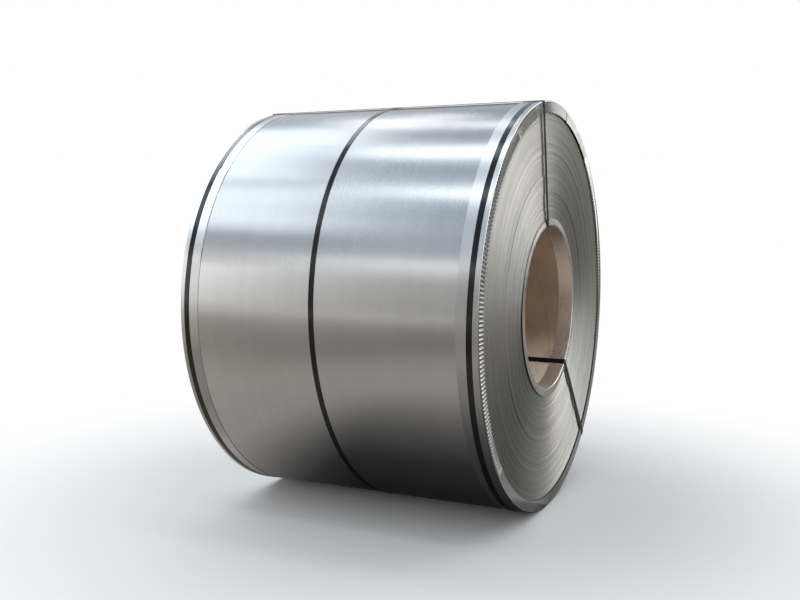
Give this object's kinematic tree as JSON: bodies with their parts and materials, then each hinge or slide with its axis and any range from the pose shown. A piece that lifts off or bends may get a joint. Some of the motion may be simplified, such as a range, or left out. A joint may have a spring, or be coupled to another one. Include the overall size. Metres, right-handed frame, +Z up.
{
  "type": "steel coil",
  "caption": "Coil of bright steel strip lying on its side, with sheet-steel corner rings, a paperboard liner in the bore, and girth and eye straps.",
  "frame": {"origin": "on the floor, below the middle of the coil", "axes": "+X along the bore, towards the end that the picture shows; +Z up"},
  "size_m": [0.929, 1.2472, 1.2483],
  "materials": {
    "strip": "bright cold-rolled strip with a soft sheen",
    "ring": "mottled galvanised sheet, the flange crimped",
    "inner_ring": "bright galvanised sheet",
    "strap": "glossy black painted steel strapping",
    "seal": "dark painted crimped steel seals",
    "liner": "dull brown wound paperboard"
  },
  "bodies": {
    "root": {"wound_strip": "strip", "bore_liner": "liner", "outer_ring_near": "ring", "outer_ring_far": "ring", "inner_ring_near": "inner_ring", "inner_ring_far": "inner_ring", "girth_strap_near": "strap", "girth_strap_middle": "strap", "girth_strap_far": "strap", "eye_strap_1": "strap", "eye_strap_2": "strap", "girth_seal_near": "seal", "girth_seal_middle": "seal", "girth_seal_far": "seal", "eye_seal_1": "seal", "eye_seal_2": "seal"}
  },
  "joints": []
}
